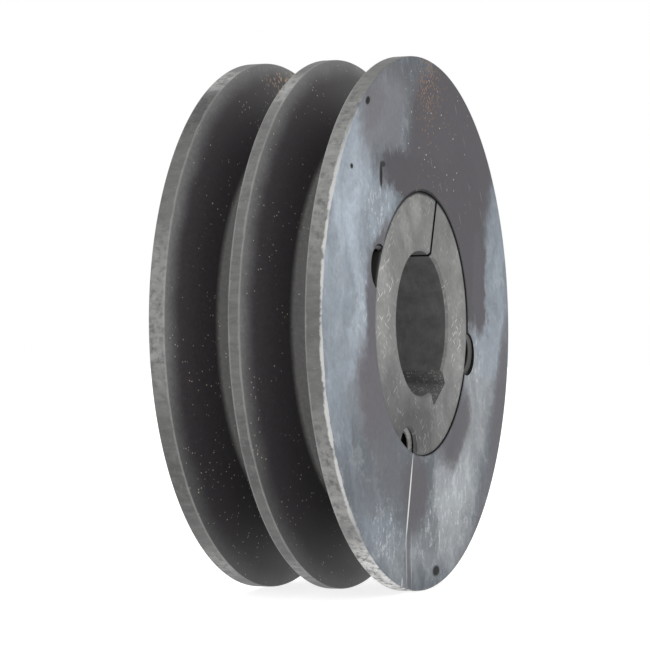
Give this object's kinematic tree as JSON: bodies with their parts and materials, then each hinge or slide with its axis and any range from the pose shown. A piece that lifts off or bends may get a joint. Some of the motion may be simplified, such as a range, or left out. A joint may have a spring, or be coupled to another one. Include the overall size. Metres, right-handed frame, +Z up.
{
  "type": "v belt pulley",
  "caption": "Grooved V belt pulley with a split taper bush, a keyed shaft bore and grub screws that lock the bush in its taper.",
  "frame": {"origin": "on the shaft axis, halfway between the front and rear faces of the rim", "axes": "+Z up, shaft axis along Y, front face with the small end of the bush towards -Y, rear recess with the screw heads towards +Y"},
  "size_m": [0.132, 0.0434, 0.132],
  "materials": {
    "pulley_casting": "turned grey cast iron with a thin grey phosphate film, darker and smoother in the grooves",
    "bush_casting": "ground and phosphated grey cast iron with light scratches",
    "screw_steel": "black oxide alloy steel"
  },
  "bodies": {
    "bush": {"taper_bush": "bush_casting"},
    "pulley": {"pulley_body": "pulley_casting"},
    "screw_left": {"grub_screw_left": "screw_steel"},
    "screw_right": {"grub_screw_right": "screw_steel"}
  },
  "joints": [
    {"name": "bush_release", "type": "slide", "parent": "bush", "child": "pulley", "axis": [0, -1, 0], "range_m": [0, 0.003]},
    {"name": "grub_screw_left_turn", "type": "hinge", "parent": "bush", "child": "screw_left", "pos_m": [-0.02988, -0.00188, 0.0133], "axis": [0, 1, 0], "range_deg": [0, 595.8]},
    {"name": "grub_screw_right_turn", "type": "hinge", "parent": "bush", "child": "screw_right", "pos_m": [0.03173, -0.00188, -0.00791], "axis": [0, 1, 0], "range_deg": [0, 595.8]}
  ],
  "couplings": [
    {"joint": "grub_screw_left_turn", "follows": "bush_release", "rad_per_m": 3463.2},
    {"joint": "grub_screw_right_turn", "follows": "bush_release", "rad_per_m": 3463.2}
  ]
}
